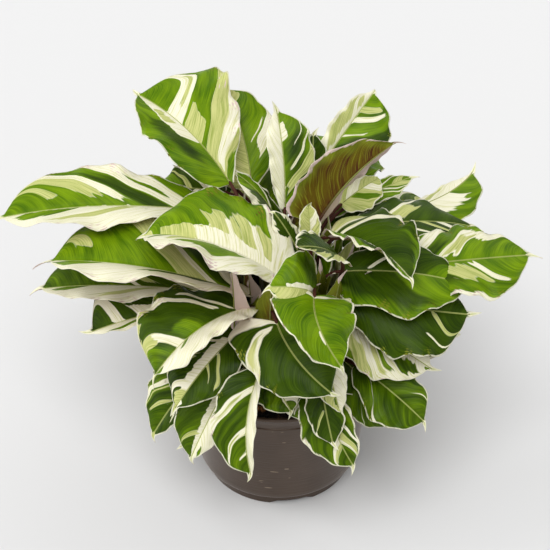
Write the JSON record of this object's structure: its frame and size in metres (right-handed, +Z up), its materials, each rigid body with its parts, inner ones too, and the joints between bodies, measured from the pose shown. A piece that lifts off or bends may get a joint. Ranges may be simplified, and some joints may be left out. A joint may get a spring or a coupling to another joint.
{
  "type": "potted foliage plant",
  "caption": "Bushy prayer plant with broad pointed leaves banded in green, sage and cream on thin stalks, growing in a round taupe plastic nursery pot.",
  "frame": {"origin": "centre of the raised pad under the pot, which lies in the plane of the foot ring that the pot stands on", "axes": "+Z up out of the pot along its axis; -Y towards the side the plant is seen from; +X to the right of that view"},
  "size_m": [0.38, 0.2994, 0.2833],
  "materials": {
    "taupe_plastic": "satin",
    "potting_mix": "matte",
    "bark": "matte",
    "leaf": "satin"
  },
  "bodies": {
    "root": {"pot": "taupe_plastic", "soil": "potting_mix", "bark_chip_1": "bark", "bark_chip_2": "bark", "bark_chip_3": "bark", "bark_chip_4": "bark", "leaf_top_1": "leaf", "leaf_top_2": "leaf", "leaf_top_3": "leaf", "leaf_top_4": "leaf", "leaf_top_5": "leaf", "leaf_young_1": "leaf", "leaf_young_2": "leaf", "leaf_young_3": "leaf", "leaf_right_1": "leaf", "leaf_right_2": "leaf", "leaf_right_3": "leaf", "leaf_right_4": "leaf", "leaf_right_5": "leaf", "leaf_right_6": "leaf", "leaf_right_7": "leaf", "leaf_right_8": "leaf", "leaf_right_9": "leaf", "leaf_right_10": "leaf", "leaf_right_11": "leaf", "leaf_front_1": "leaf", "leaf_front_2": "leaf", "leaf_front_3": "leaf", "leaf_front_4": "leaf", "leaf_low_1": "leaf", "leaf_low_2": "leaf", "leaf_low_3": "leaf", "leaf_low_4": "leaf", "leaf_low_5": "leaf", "leaf_low_6": "leaf", "leaf_low_7": "leaf", "leaf_low_8": "leaf", "leaf_low_9": "leaf", "leaf_low_10": "leaf", "leaf_low_11": "leaf", "leaf_left_1": "leaf", "leaf_left_2": "leaf", "leaf_left_3": "leaf", "leaf_left_4": "leaf", "leaf_left_5": "leaf", "leaf_left_6": "leaf", "leaf_left_7": "leaf", "leaf_left_8": "leaf", "leaf_left_9": "leaf", "leaf_left_10": "leaf", "leaf_back_1": "leaf", "leaf_back_2": "leaf", "leaf_back_3": "leaf", "leaf_back_4": "leaf", "leaf_back_5": "leaf", "leaf_back_6": "leaf", "leaf_back_7": "leaf"}
  },
  "joints": []
}
